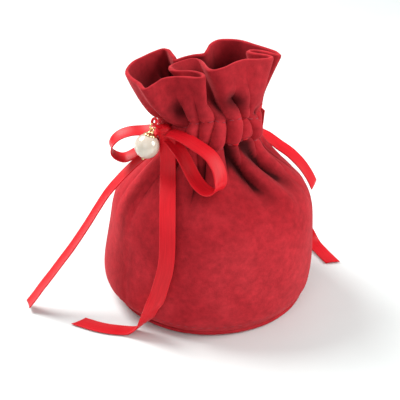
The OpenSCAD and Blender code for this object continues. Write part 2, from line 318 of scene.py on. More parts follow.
# %% [markdown]
# ## Ribbons
# A satin ribbon is a flat woven band that bends easily one way and hardly the other. Each
# free stretch is swept along its route from the CAD model: a thin cross-section with a
# slight cup and rolled edges, turned as the ribbon twists.

# %% Sweep a ribbon
RIBBON_WIDTH = 6.5
EDGE_THICK = 0.5            # at the woven edges; the band between them is thinner
ROUTE_STEP = 0.9            # from one cross-section to the next
CUT_SHARE = 0.1             # last part of the length, where the slanted cut is made


def ribbon_section(cup):
    """Closed outline across a ribbon, as (across, out) pairs, with thicker woven edges."""
    across = np.array([-0.5, -0.485, -0.44, -0.3, -0.1, 0.1, 0.3, 0.44, 0.485, 0.5]) * RIBBON_WIDTH
    half = np.array([0.25, 0.5, 0.5, 0.36, 0.36, 0.36, 0.36, 0.5, 0.5, 0.25]) * EDGE_THICK
    bow = cup * (1 - (2 * across / RIBBON_WIDTH) ** 2)
    top = np.stack([across, bow + half], axis=1)
    bottom = np.stack([across, bow - half], axis=1)[::-1]
    return np.concatenate([top, bottom])


def sweep_ribbon(name, route, sides, cup, end_cut):
    """A ribbon along route. sides gives the direction across it at each route point, cup bends
    it across and end_cut slants its far end."""
    count = max(24, int(curve_length(route) / ROUTE_STEP))
    line = smooth_curve(route, count)
    side = along(route, sides, count)
    for _ in range(6):
        side[1:-1] = (side[:-2] + 2 * side[1:-1] + side[2:]) / 4
    ahead = unit(np.gradient(line, axis=0))
    side = unit(side - ahead * (side * ahead).sum(1, keepdims=True))
    face = np.cross(ahead, side)
    run = np.linspace(0, 1, count)
    section = ribbon_section(cup)
    m = len(section)
    points = line[:, None] + side[:, None] * section[None, :, :1] + face[:, None] * section[None, :, 1:]
    slant = np.clip((run - (1 - CUT_SHARE)) / CUT_SHARE, 0, 1) ** 2
    points = points + ahead[:, None] * (slant[:, None] * section[None, :, 0] * end_cut)[..., None]
    u = np.concatenate([np.linspace(0, 1, m // 2), np.linspace(1, 0, m // 2)])
    uv = uv_pairs(u[None, :], (run * curve_length(line) * MM)[:, None])
    piece = make_mesh(name, points.reshape(-1, 3), closed_faces(count, m), satin_ribbon, uv)
    return piece, line


# %% Routes of the free ribbons, in millimetres
ROUTES = {
    "bow_left_loop": [(-20, -15, 81), (-23, -12.8, 80.4), (-27, -11.6, 79.7), (-32, -11.6, 79.3),
                      (-36.5, -12, 77.8), (-39.5, -12.5, 75), (-40.2, -12.6, 72), (-38.6, -12.6, 69.4),
                      (-35, -12, 67.8), (-31, -11.5, 69.4), (-26, -11.4, 73.2), (-21, -13.6, 78)],
    "bow_right_loop": [(-16.5, -18, 81.6), (-11, -22, 81.4), (-5.6, -24.4, 78.9), (-0.6, -26.8, 76),
                       (2.4, -29.2, 72.2), (3.6, -31.2, 68.6), (3.4, -32.6, 65.6), (1.6, -33.2, 63.6),
                       (-1.2, -32.6, 63), (-4.2, -30.2, 64.2), (-7, -26.8, 67), (-10, -23.4, 71.9),
                       (-13, -21.2, 76.2), (-16.5, -18.5, 79.6)],
    "bow_front_tail": [(-17, -18, 80.5), (-17, -19.4, 75), (-17, -20.6, 70), (-17, -23.6, 65.5),
                       (-17, -29.4, 61), (-17, -35, 55.6), (-17, -39.2, 49), (-17.2, -41.8, 40.6),
                       (-18, -42.9, 33.6), (-19.8, -43, 26.5), (-21.5, -42.8, 20.4), (-23.8, -42, 15),
                       (-25.8, -40.6, 9.6), (-28.6, -39.2, 4.8), (-32, -38, 1.6), (-36, -36.8, 0.7),
                       (-40, -36.2, 0.7), (-44, -35.2, 0.7), (-48, -33.6, 0.7), (-52, -31.6, 0.7),
                       (-55, -30, 0.7)],
    "bow_side_tail": [(-20, -15, 78), (-24, -12.8, 72), (-30.2, -13.6, 66.4), (-36, -15.4, 61),
                      (-41.6, -17, 54.8), (-46, -18, 48.2), (-49.8, -18.6, 42), (-53.6, -19, 36),
                      (-58, -19.4, 29.4), (-62.4, -19.6, 23.3), (-66.6, -19.8, 17.4), (-71, -19.8, 11.4),
                      (-74.4, -19.6, 6.4), (-77.6, -19.4, 2)],
    "rear_short_tail": [(20.5, 14, 79), (20.4, 16.6, 74.6), (20.4, 18.8, 70), (21.2, 19.8, 65.6),
                        (25.2, 19.9, 62.5), (29.7, 18.4, 59.5), (34.6, 15.6, 56.9), (39.4, 12.7, 52.9),
                        (42.8, 11.2, 48.3), (45, 10.5, 44)],
    "rear_long_tail": [(20, 16, 79), (19.4, 19, 74), (19, 22.4, 68), (19.4, 26.8, 61), (20.6, 32.2, 54),
                       (24.4, 35.4, 47), (29, 35.8, 40), (33, 35.8, 32.6), (36.8, 36, 25.6), (40, 36.4, 19),
                       (42.8, 36.4, 12.4), (45.8, 35, 6.8), (49, 31.4, 2.6), (52.2, 26.4, 0.9),
                       (54.4, 21.6, 0.7), (56.4, 17, 0.7)],
}


# The direction across each ribbon at its route points. A tail starts square to the cloth and
# turns flat where it lands on the table.
SIDES = {
    "bow_left_loop": [(-0.15, 0.95, 0.2)] * 12,
    "bow_right_loop": [(0.68, 0.69, 0.12)] * 14,
    "bow_front_tail": ([(1, -0.3, 0)] * 11 + [(0.9, 0.3, 0.1)] * 2 + [(0.5, 0.8, 0)] * 2
                       + [(0.35, 0.93, 0)] * 6),
    "bow_side_tail": [(-0.3, 0.95, 0)] * 14,
    "rear_short_tail": [(-0.7, 0.67, 0.17)] * 3 + [(-0.15, 0.94, 0.14)] + [(0.4, 0.88, 0.2)] * 6,
    "rear_long_tail": [(0.7, -0.7, 0)] * 10 + [(0.85, -0.3, 0)] * 2 + [(0.9, 0.4, 0)] * 4,
}
print("route points:", {name: len(route) for name, route in ROUTES.items()})

# %% [markdown]
# The two loops go back into the knot, so their far end is a knot. The four tails end in a
# plain slanted cut. The front tail and the rear long tail lie on the table, and the side tail
# ends just above it.

RIBBON_FACTS = {
    "bow_left_loop": dict(body="front_bow", far_end="knot", lay="loose", cup=0.35),
    "bow_right_loop": dict(body="front_bow", far_end="knot", lay="loose", cup=0.45),
    "bow_front_tail": dict(body="front_bow", far_end="bare", lay="hanging", cup=0.2, end_cut=-0.45),
    "bow_side_tail": dict(body="front_bow", far_end="bare", lay="hanging", cup=0.3, end_cut=0.25),
    "rear_short_tail": dict(body="rear_tie", far_end="bare", lay="loose", cup=0.3, end_cut=-0.2),
    "rear_long_tail": dict(body="rear_tie", far_end="bare", lay="hanging", cup=0.25, end_cut=0.2),
}

for name, facts in RIBBON_FACTS.items():
    route = ROUTES[name]
    piece, line = sweep_ribbon(name + "_satin", route, SIDES[name], cup=facts["cup"],
                               end_cut=facts.get("end_cut", 0.0))
    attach(piece, facts["body"])
    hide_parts(name)
    print(name, "length, mm:", round(curve_length(line), 1))

# %% [markdown]
# ## The cut of the velvet
# The body is a tube about 276 mm round, as wide as the belly. At the neck the same length
# of cloth has to fit a circle of 125 mm, so it stands in some twenty pleats there, and above
# the casing it opens again into a few big folds. One grid holds the whole tube, from the
# base seam up to the turned rim: its columns run round the tube and its rows run up it.

# %% Sizes of the tube, in millimetres and degrees
FRONT_SEAM = 218.0          # plan angle of the side seam with the bow
REAR_SEAM = FRONT_SEAM + 180
CASING_LOW = 74.0
CASING_TOP = 84.0
CASING_MIDDLE = 79.0
NECK_RADIUS = 20.0
CLOTH_THICK = 1.7
CLOTH_GIRTH = 0.276         # in metres, as it lies flat
COLUMNS = 336
BODY_ROWS = 56
CASING_ROWS = 15
FRILL_ROWS = 24
OUTLINE = [(39.9, 2.4), (40.8, 3.2), (42.0, 5.4), (43.4, 9.8), (44.2, 20), (43.7, 36.7), (42.8, 43.2),
           (41.0, 48.4), (38.2, 52.4), (34.8, 55.6), (30.7, 59.4), (26.6, 63.2), (23.2, 67),
           (21.2, 70.8), (20, 74)]

body_profile = smooth_curve(OUTLINE, BODY_ROWS)
casing_heights = np.linspace(CASING_LOW, CASING_TOP, CASING_ROWS + 1)[1:]
casing_profile = np.stack([np.full(CASING_ROWS, NECK_RADIUS), casing_heights], axis=1)
profile = np.concatenate([body_profile, casing_profile])
angles = FRONT_SEAM + 360 * np.arange(COLUMNS) / COLUMNS
print("grid:", len(profile) + FRILL_ROWS, "rows by", COLUMNS, "columns")


def ease(x):
    """Smooth step from 0 to 1."""
    x = np.clip(x, 0, 1)
    return x * x * (3 - 2 * x)


def bell(x):
    return np.exp(-x * x)


def turn_between(a, b):
    """Angle from b to a in degrees, from -180 to 180."""
    return (a - b + 180) % 360 - 180


# %% [markdown]
# Gathers are never even. The valleys between pleats are placed one by one on the side that
# shows, each pleat gets its own depth, and each one leans a little between the two rows of
# stitching. A fixed seed keeps the same pouch every time.

# %% Pleats at the neck
VALLEYS = [218, 239, 255, 271, 289, 308, 329, 350, 369, 384, 398,
           414, 432, 449, 466, 486, 503, 521, 540, 558, 578]
PLEAT_DEPTH = 6.2
PLEAT_RIDGE = 0.86          # share of the bulge that stays inside the neck circle
chance = np.random.default_rng(7)
pleat_gain = 0.8 + 0.4 * chance.random(len(VALLEYS) - 1)
pleat_gain[3] = 1.15
pleat_gain[5] = 1.2
pleat_reach = 6 + 7 * chance.random(len(VALLEYS) - 1)
valley_lean = np.append(12 * (chance.random(len(VALLEYS) - 1) - 0.5), 0)
valley_lean[-1] = valley_lean[0]
print("pleats:", len(pleat_gain), "with gains up to", round(float(pleat_gain.max()), 2))


def pleats(height, angle):
    """Bulge from 0 in a valley to 1 on a ridge, sideways swell in degrees, gain and reach."""
    edges = np.array(VALLEYS) + valley_lean * np.clip((height - CASING_MIDDLE) / 5, -1.3, 1.3)
    wrapped = edges[0] + (angle - edges[0]) % 360
    index = np.clip(np.searchsorted(edges, wrapped, side="right") - 1, 0, len(VALLEYS) - 2)
    span = edges[index + 1] - edges[index]
    phase = (wrapped - edges[index]) / span
    bulge = np.sin(math.pi * phase) ** 0.72
    swell = -0.085 * span * np.sin(TAU * phase)
    return bulge, swell, pleat_gain[index], pleat_reach[index]


# %% [markdown]
# Below the casing the small pleats die out within a centimetre or so, and a few of them run
# on as long soft folds that fan out over the shoulder. Each is a ridge or a hollow with a
# place at the neck, a place lower down, a height, a width and a reach.

# %% Long folds over the shoulder
SHOULDER_FOLDS = [  # angle at the neck, angle on the shoulder, height, width, lowest point
    (303, 325, 3.0, 7.5, 44), (291, 313, -4.8, 8.5, 50), (316, 342, -5.0, 9, 47),
    (274, 279, 1.4, 7, 50), (262, 258, -2.6, 7, 47), (334, 358, 2.0, 9, 46),
    (4, 10, -3.4, 10, 48), (246, 244, 0.9, 8, 54), (230, 228, -1.2, 8, 52),
    (28, 26, 1.2, 9, 50), (48, 51, -2.0, 9, 47), (70, 72, 1.5, 9, 46), (92, 90, -1.8, 9, 48),
    (113, 116, 1.6, 9, 45), (135, 133, -2.0, 9, 48), (158, 160, 1.4, 9, 47), (182, 180, -1.8, 9, 49),
    (204, 203, 1.0, 8, 52),
]
print("long folds:", len(SHOULDER_FOLDS))


def shoulder(height, angle):
    drop = ease((CASING_LOW - height) / 22)
    total = np.zeros_like(angle)
    for at_neck, below, rise, width, lowest in SHOULDER_FOLDS:
        centre = at_neck + (below - at_neck) * drop
        across = bell(turn_between(angle, centre) / width)
        fade = ease((height - lowest) / (63 - lowest)) * (1 - 0.6 * ease((height - 66) / 8))
        total += rise * across * fade
    return total


def slack(height, angle):
    """Soft waves of the belly, fuller at the left where the filling leans."""
    turn = np.radians(angle)
    wave = (0.35 * np.sin(2 * turn + height * 0.05 + 1.0) + 0.28 * np.sin(3 * turn - height * 0.07)
            + 0.2 * np.sin(5 * turn + height * 0.11 + 2.0) + 0.12 * np.sin(9 * turn - height * 0.16))
    left = np.maximum(0, -np.cos(turn))
    right = np.maximum(0, np.cos(turn))
    lean = left * (1.7 * bell((height - 8) / 11) - 1.8 * bell((height - 40) / 15))
    lean = lean - right * (0.4 * bell((height - 9) / 14) + 0.6 * bell((height - 57) / 9))
    crease = -0.9 * bell(turn_between(angle, 318 - (height - 8) * 1.1) / 5) * bell((height - 13) / 9)
    return (wave + crease) * ease(height / 10) * ease((70 - height) / 20) + lean


def wander(height):
    """How far a row near the casing rides up or down, because the gathers pull unevenly."""
    turn = np.radians(angles)
    upper = 3.0 * bell(turn_between(angles, 285) / 38) - 0.8 * bell(turn_between(angles, 0) / 30)
    lower = 1.3 * bell(turn_between(angles, 285) / 45)
    upper = upper + 0.7 * np.sin(7 * turn + 1) + 0.6 * np.sin(13 * turn + 2)
    lower = lower + 0.6 * np.sin(6 * turn) + 0.6 * np.sin(11 * turn + 2)
    share = ease((height - CASING_LOW) / (CASING_TOP - CASING_LOW))
    near = ease((height - 60) / 14)
    return near * (lower * (1 - share) + upper * share)


# %% Lay out the tube up to the top of the casing
def tube_row(radius, height):
    bulge, swell, gain, reach = pleats(height, angles)
    below = max(0.0, CASING_LOW - height)
    keep = np.exp(-((below / reach) ** 1.25))
    r = radius - CLOTH_THICK / 2 + shoulder(height, angles) + slack(height, angles)
    r = r + keep * gain * PLEAT_DEPTH * (bulge - PLEAT_RIDGE)
    inside = np.clip((height - CASING_LOW) / (CASING_TOP - CASING_LOW), 0, 1)
    puff = math.sin(math.pi * inside) ** 0.7
    pinch = bell((height - CASING_LOW - 0.6) / 1.1) + bell((height - CASING_TOP + 0.6) / 1.1)
    r = r + 1.2 * puff * (0.2 + 0.8 * bulge) - 1.5 * pinch * bulge
    for seam in (FRONT_SEAM, REAR_SEAM):
        groove = bell(turn_between(angles, seam) * radius * 0.0175 / 0.9)
        r = r - 0.55 * groove * ease((height - 3) / 4)
    turn = np.radians(angles + swell * keep)
    rise = 1.3 * bell((height - 2) / 6) * ease(-np.cos(np.radians(angles)) * 1.2)
    rise = rise + wander(height)
    return np.stack([r * np.cos(turn), r * np.sin(turn), np.full(COLUMNS, height) + rise], axis=1)


tube = np.array([tube_row(radius, height) for radius, height in profile])
print("tube laid out to", round(float(tube[-1, :, 2].max()), 1), "mm high")

# %% [markdown]
# The rim of the frill is nearly the same length of cloth with almost no gathering, so it wanders in
# big folds: an open lobe at the left, a double box fold in the middle, where both halves
# touch, and a wide lobe at the right. Each stretch starts with the angle at the neck that it
# grows out of, so the folds fan down into the right pleats.

# %% Rim of the frill
RIM = [
    (218, [(-27.5, -20, 102.6), (-25, -25.4, 102.4), (-21.4, -20.6, 102.6), (-18.4, -16.6, 103),
           (-14, -15.4, 103.3), (-9, -16, 103.5), (-5.4, -17.6, 103.8)]),
    (263, [(-3, -17.4, 104), (-3.6, -14.6, 104.4), (-7.4, -12.6, 104.6), (-12.4, -12.6, 104.8)]),
    (275, [(-15.8, -10.6, 105.1), (-14.8, -7.4, 105.3), (-11, -4, 105.5), (-7.6, -1.8, 105.6)]),
    (286, [(-4.8, -2, 105.6), (-3.4, -5.4, 105.6), (-2.2, -10, 105.7)]),
    (296, [(-0.6, -14.4, 106), (1.8, -15.6, 106.2), (5.7, -13.1, 106.4), (9.3, -8.9, 106.6),
           (13.4, -5.6, 106.6), (18, -4.8, 106.4), (21.8, -3.4, 106.2)]),
    (345, [(24.2, -1, 106), (21.4, 1, 106.2), (17.2, 2.2, 106.4)]),
    (352, [(14.8, 4.4, 106.5), (17.6, 5.8, 106.4), (22.6, 4.2, 106.2)]),
    (362, [(27.2, 1.4, 105.8), (26, 5.2, 106), (22.4, 8.4, 106.3)]),
    (398, [(18, 12, 106.5), (12.6, 16.4, 106.7), (7.2, 17.9, 106.7), (3, 17.2, 106.6)]),
    (440, [(0.2, 13, 106.4), (-1.2, 7.4, 106.2), (-2.6, 3.4, 105.9)]),
    (462, [(-7, 2.4, 105.6), (-11, 0.8, 105.2)]),
    (480, [(-14, -1, 104.8), (-14.6, 3.4, 104.4), (-15.8, 8.6, 104), (-17.2, 14.4, 103.4)]),
    (500, [(-19.4, 16.2, 103.2), (-22.8, 13, 103.2), (-27, 7.2, 103.2)]),
    (540, [(-31.2, 0.3, 103.2), (-32.8, -9, 103), (-30.4, -15.6, 102.8)]),
]


RIM_STEPS = 3000            # fine steps round the rim, from which each column takes its own


def rim_points():
    """The rim's place for each column, at even steps of cloth within each stretch."""
    points = [p for _, stretch in RIM for p in stretch]
    dense = smooth_curve(points, RIM_STEPS, closed=True)
    starts = [int(np.argmin(np.linalg.norm(dense - np.array(s[0]), axis=1))) for _, s in RIM]
    starts[0] = 0
    steps = np.array(starts + [RIM_STEPS], float)
    marks = np.array([angle for angle, _ in RIM] + [FRONT_SEAM + 360], float)
    wanted = np.interp(angles, marks, steps)
    for _ in range(12):
        ends = np.concatenate([[wanted[-1] - RIM_STEPS], wanted, [wanted[0] + RIM_STEPS]])
        wanted = (ends[:-2] + 2 * ends[1:-1] + ends[2:]) / 4
    index = np.arange(-1, RIM_STEPS + 1)
    looped = np.concatenate([dense[-1:], dense, dense[:1]])
    return np.stack([np.interp(wanted % RIM_STEPS, index, looped[:, k]) for k in range(3)], axis=1)


rim = rim_points()
print("rim length, mm:", round(curve_length(np.concatenate([rim, rim[:1]])), 0))

# %% Loft the frill from the casing to the rim
DEEP_GAPS = [  # angle, depth, half width in degrees, step up the frill, half spread
    (238, 5.4, 7, 0.36, 0.2), (284, 5.0, 5, 0.28, 0.2), (307, 6.2, 10, 0.34, 0.18),
    (338, 2.6, 5, 0.12, 0.12), (60, 3, 5, 0.2, 0.16), (105, 3.4, 6, 0.2, 0.16), (150, 3, 5, 0.2, 0.16),
]
FULL_LOBES = [  # the same five values, for places where the frill swells out
    (322, 2.6, 14, 0.42, 0.2), (248, 1.4, 8, 0.4, 0.25), (80, 1.5, 12, 0.35, 0.2), (130, 1.5, 12, 0.35, 0.2),
]


def frill_row(step):
    """One row of the frill, step running from 0 at the casing to 1 at the rim."""
    bulge, swell, gain, _ = pleats(CASING_TOP, angles)
    keep = (1 - step) ** 1.6
    r = NECK_RADIUS - CLOTH_THICK / 2 + keep * gain * PLEAT_DEPTH * (bulge - PLEAT_RIDGE)
    r = r - 1.4 * bell(step / 0.06) * bulge
    held = 1 - bell(step / 0.05)
    for angle, depth, width, middle, spread in DEEP_GAPS:
        r = r - held * depth * bell(turn_between(angles, angle) / width) * bell((step - middle) / spread)
    for angle, depth, width, middle, spread in FULL_LOBES:
        r = r + held * depth * bell(turn_between(angles, angle) / width) * bell((step - middle) / spread)
    turn = np.radians(angles + swell * keep)
    foot = np.stack([r * np.cos(turn), r * np.sin(turn), CASING_TOP + wander(CASING_TOP)], axis=1)
    power = 1.2 - 0.72 * bell(turn_between(angles, 205) / 38)
    share = (step ** power)[:, None]
    row = foot + (rim - foot) * share
    row[:, 2] = foot[:, 2] + (rim[:, 2] - foot[:, 2]) * step
    return row


frill = np.array([frill_row(step) for step in (np.arange(FRILL_ROWS) + 1) / FRILL_ROWS])
cloth = np.concatenate([tube, frill])
TOP_OF_BODY = len(tube) - 1
print("cloth grid:", cloth.shape)

# %% [markdown]
# ## Let the cloth settle
# Laid out by rule, the cloth is too even between the places where it is held. A short cloth
# simulation lets it settle: the base seam, the casing and the rim stay pinned, the belly is
# pushed out a little by what is inside, and the free cloth of the shoulder and the frill shifts
# by up to about a millimetre. It runs on every second point at ten times the size, because cloth
# solvers are tuned for garments, and only the small moves that it makes are carried back to the
# full grid. The folds themselves come from the rules above.

# %% Settle the cloth
SETTLE_STEPS = 14
SETTLE_LIMIT = 2.2          # millimetres, a guard that this pouch doesn't reach
SOLVER_SCALE = 0.01         # one millimetre becomes ten in the solver


def settle(grid, pinned):
    rows, columns = grid.shape[:2]
    mesh = bpy.data.meshes.new("settling")
    mesh.from_pydata((grid.reshape(-1, 3) * SOLVER_SCALE).tolist(), [], grid_faces(rows, columns, wrap=True))
    mesh.update()
    trial = show("settling", mesh)
    held = trial.vertex_groups.new(name="held")
    for row, weight in enumerate(pinned):
        held.add(list(range(row * columns, (row + 1) * columns)), float(weight), "REPLACE")
    modifier = trial.modifiers.new("cloth", "CLOTH")
    modifier.settings.quality = 6
    modifier.settings.mass = 0.15
    modifier.settings.tension_stiffness = 12
    modifier.settings.compression_stiffness = 12
    modifier.settings.shear_stiffness = 6
    modifier.settings.bending_stiffness = 1.2
    modifier.settings.vertex_group_mass = "held"
    modifier.settings.pin_stiffness = 1
    modifier.settings.use_pressure = True
    modifier.settings.uniform_pressure_force = 1.2
    modifier.settings.effector_weights.gravity = 0.35
    modifier.point_cache.frame_start = 1
    modifier.point_cache.frame_end = SETTLE_STEPS
    for step in range(1, SETTLE_STEPS + 1):
        bpy.context.scene.frame_set(step)
    shown = trial.evaluated_get(bpy.context.evaluated_depsgraph_get())
    settled = shown.to_mesh()
    found = np.zeros(rows * columns * 3)
    settled.vertices.foreach_get("co", found)
    shown.to_mesh_clear()
    bpy.data.objects.remove(trial)
    bpy.data.meshes.remove(mesh)
    bpy.context.scene.frame_set(1)
    move = found.reshape(grid.shape) / SOLVER_SCALE - grid
    size = np.linalg.norm(move, axis=2, keepdims=True)
    return move * np.minimum(1, SETTLE_LIMIT / np.maximum(size, 1e-9))


def spread_moves(moves, rows, columns):
    """Moves of every second point, spread over all rows and columns."""
    wide = np.concatenate([moves, moves[:, :1]], axis=1)
    down = np.arange(rows) / 2
    round_it = np.arange(columns) / 2
    lower = np.minimum(down.astype(int), len(moves) - 2)
    left = np.minimum(round_it.astype(int), wide.shape[1] - 2)
    a = (down - lower)[:, None, None]
    b = (round_it - left)[None, :, None]
    return ((1 - a) * (1 - b) * wide[lower][:, left] + (1 - a) * b * wide[lower][:, left + 1]
            + a * (1 - b) * wide[lower + 1][:, left] + a * b * wide[lower + 1][:, left + 1])


row_count = len(cloth)
row_index = np.arange(0, row_count, 2)
casing_rows = (row_index >= BODY_ROWS - 1) & (row_index <= TOP_OF_BODY + 1)
held_rows = (row_index < 3) | casing_rows | (row_index >= row_count - 3)
moves = settle(cloth[::2, ::2], held_rows.astype(float))
moves[held_rows] = 0
cloth = cloth + spread_moves(moves, row_count, COLUMNS)
print("largest move while settling, mm:", round(float(np.linalg.norm(moves, axis=2).max()), 2))

# %% [markdown]
# ## Thickness, rim and seams
# Velvet with its lining is about 1.7 mm thick, and its turned rim is a soft round edge. The
# grid is the middle of the cloth, so it is moved half a thickness to each side and the two
# faces are joined over the rim. The tube is then parted where it is sewn: the body with its
# casing, and the two halves of the frill. All three keep the
# shading of the whole tube, so no edge shows where they meet.

# %% Faces on both sides of the grid
def grid_normals(grid):
    around = np.roll(grid, -1, axis=1) - np.roll(grid, 1, axis=1)
    upward = np.gradient(grid, axis=0)
    return unit(np.cross(around, upward))


outward = grid_normals(cloth)
for _ in range(2):
    outward = unit(outward * 2 + np.roll(outward, 1, axis=1) + np.roll(outward, -1, axis=1))
half = CLOTH_THICK / 2
inside_depth = np.full(len(cloth), half)
CHANNEL_DEPTH = 1.6         # room for the ribbons between the two layers of the casing
casing_share = ease((profile[:, 1] - CASING_LOW + 3) / 3)
inside_depth[:len(profile)] += CHANNEL_DEPTH * casing_share * ease((CASING_TOP + 0.5 - profile[:, 1]) / 2)
outer_face = cloth + outward * half
inner_face = cloth - outward * inside_depth[:, None, None]
print("outer face reaches, mm:", np.round(outer_face.reshape(-1, 3).max(0), 1))


# %% [markdown]
# Where the cloth dips below the average of its surroundings, it is in a fold. Smoothing a copy
# of the grid gives those surroundings, and the gap between the two, seen along the normal,
# says how deep each point lies. That depth is one part of the painted shade. The gaps of the
# frill and the valleys of the shoulder get painted shade of their own, at the places where they
# were laid out, and the inside of the frill is painted darker towards the neck, where shade falls.

# %% How deep each point lies in a fold
def fold_depth(grid, normals, rounds):
    smooth = grid.copy()
    for _ in range(rounds):
        around = (np.roll(smooth, 1, axis=1) + np.roll(smooth, -1, axis=1)) / 2
        padded = np.concatenate([smooth[:1], smooth, smooth[-1:]])
        updown = (padded[:-2] + padded[2:]) / 2
        smooth = (smooth + around * 2 + updown) / 4
    return ((smooth - grid) * normals).sum(axis=2)


NARROW_ROUNDS = 30
WIDE_ROUNDS = 160
GAP_SHADE = 0.24            # shade for each millimetre that a gap of the frill is deep
VALLEY_SHADE = 0.3          # the same for a valley of the shoulder, past its first millimetre
# How much the frill's outside is painted darker, towards the fold colour.
FRILL_DARKENING = 0.26        # the frill's outside, where the pile is brushed down

up_frill = np.clip((np.arange(len(cloth)) - TOP_OF_BODY) / FRILL_ROWS, 0, 1)[:, None]
row_height = np.append(profile[:, 1], np.full(FRILL_ROWS, CASING_TOP))[:, None]
narrow = fold_depth(cloth, outward, NARROW_ROUNDS)
wide = fold_depth(cloth, outward, WIDE_ROUNDS)
# Painted shade in the deep gaps of the frill.
painted_gap_shade = np.zeros(narrow.shape)
for angle, depth, width, middle, spread in DEEP_GAPS:
    across = bell(turn_between(angles, angle) / (width * 1.25))
    painted_gap_shade += GAP_SHADE * depth * across * bell((up_frill - middle) / (spread * 1.2)) * (up_frill > 0)
# Painted shade in the deeper valleys of the shoulder.
painted_valley_shade = np.zeros(narrow.shape)
for at_neck, below, rise, width, lowest in SHOULDER_FOLDS:
    centre = at_neck + (below - at_neck) * ease((CASING_LOW - row_height) / 22)
    across = bell(turn_between(angles, centre) / width)
    upper_part = ease((row_height - lowest) / (64 - lowest)) * ease((CASING_LOW + 3 - row_height) / 4)
    painted_valley_shade += VALLEY_SHADE * max(0, -rise - 1) * across * upper_part
# The frill's outside is painted darker from just above the casing, half as much at the rim.
painted_frill_darkening = FRILL_DARKENING * ease(up_frill / 0.2) * (1 - 0.5 * up_frill)
# Painted shade of the outside: the fold depth with the painted gaps and valleys, less near the rim.
measured_fold_shade = narrow + wide * 0.24 + painted_valley_shade * 0.5 - 0.08
outer_painted_shade = np.clip(np.maximum(measured_fold_shade, (painted_gap_shade + painted_valley_shade) * 0.95), 0, 1)
outer_painted_shade = np.maximum(outer_painted_shade * (1 - 0.75 * up_frill ** 1.5), painted_frill_darkening)
# Painted shade of the inside: darkest towards the neck, least at the rim.
inner_painted_shade = (0.95 - 0.3 * up_frill - np.clip(narrow, -0.9, 1) * 0.5) * (1 - 0.75 * up_frill ** 2)
inner_painted_shade = np.clip(inner_painted_shade, 0, 1)
print("deepest fold:", round(float(narrow.max()), 2), "mm narrow,", round(float(wide.max()), 2), "mm wide")


def shell(name, low, high, first, last, turned_rim):
    """A closed piece of the cloth: rows low..high and columns first..last of the grid. The
    columns run all the way round when last - first is the full count."""
    closed = last - first == COLUMNS
    pick = np.arange(first, last + (0 if closed else 1)) % COLUMNS
    out_rows = outer_face[low:high + 1][:, pick]
    in_rows = inner_face[low:high + 1][:, pick][::-1]
    out_normals = outward[low:high + 1][:, pick]
    layers = [out_rows]
    normals = [out_normals]
    painted_shades = [outer_painted_shade[low:high + 1][:, pick]]
    if turned_rim:
        up = unit(cloth[high] - cloth[high - 1])[pick]
        for quarter in (45, 90, 135):
            side = math.cos(math.radians(quarter))
            lift = math.sin(math.radians(quarter))
            direction = out_normals[-1] * side + up * lift
            layers.append((cloth[high][pick] + direction * half)[None])
            normals.append(direction[None])
            painted_shades.append(np.zeros((1, len(pick))))
    layers.append(in_rows)
    normals.append(-out_normals[::-1])
    painted_shades.append(inner_painted_shade[low:high + 1][:, pick][::-1])
    section = np.concatenate(layers)
    shading = unit(np.concatenate(normals)).reshape(-1, 3)
    count, width = section.shape[:2]
    faces = grid_faces(count, width, wrap=closed)
    for j in range(width if closed else width - 1):
        k = (j + 1) % width
        faces.append(((count - 1) * width + j, (count - 1) * width + k, k, j))
    if not closed:
        for i in range(count // 2):
            a, b, c, d = (k * width for k in (i, i + 1, count - 2 - i, count - 1 - i))
            if b != c:
                faces.append((a, b, c, d))
                faces.append(tuple(v + width - 1 for v in (d, c, b, a)))
    steps = np.linalg.norm(np.diff(section, axis=0), axis=2).mean(axis=1)
    v = np.concatenate([[0], np.cumsum(steps)]) * MM
    u = (first + np.arange(width)) / COLUMNS * CLOTH_GIRTH
    uv = uv_pairs(u[None, :], v[:, None])
    piece = make_mesh(name, section.reshape(-1, 3), faces, velvet_cloth, uv)
    # The painted shade goes on each point, for the velvet to read.
    layer = piece.data.attributes.new("painted_shade", "FLOAT", "POINT")
    layer.data.foreach_set("value", np.concatenate(painted_shades).ravel().astype(np.float32))
    piece.data.normals_split_custom_set_from_vertices(shading.tolist())
    return piece


# %% Part the tube into body and frill
pouch_body = shell("velvet_body", 0, TOP_OF_BODY, 0, COLUMNS, turned_rim=False)
front_frill = shell("velvet_front_frill", TOP_OF_BODY, len(cloth) - 1, 0, COLUMNS // 2, turned_rim=True)
back_frill = shell("velvet_back_frill", TOP_OF_BODY, len(cloth) - 1, COLUMNS // 2, COLUMNS, turned_rim=True)
for piece in (pouch_body, front_frill, back_frill):
    print(piece.name, len(piece.data.polygons), "faces")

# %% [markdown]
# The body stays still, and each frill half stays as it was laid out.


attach(pouch_body, "pouch")
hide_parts("front_panel", "back_panel")
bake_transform(front_frill)
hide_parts("front_frill")
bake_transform(back_frill)
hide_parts("back_frill")

# %% [markdown]
# ## Ribbons inside the casing
# Each ribbon runs right round the neck between the two layers of the casing and leaves by the
# slot in its own side seam. It is gathered with the cloth, so it follows the same pleats.

# %% Thread the two ribbons
casing_row = BODY_ROWS + CASING_ROWS // 2
casing_line = cloth[casing_row]
casing_out = unit(outward[casing_row] * np.array([1, 1, 0]))


OPEN_ANGLE = 17             # degrees left free on each side of the slot


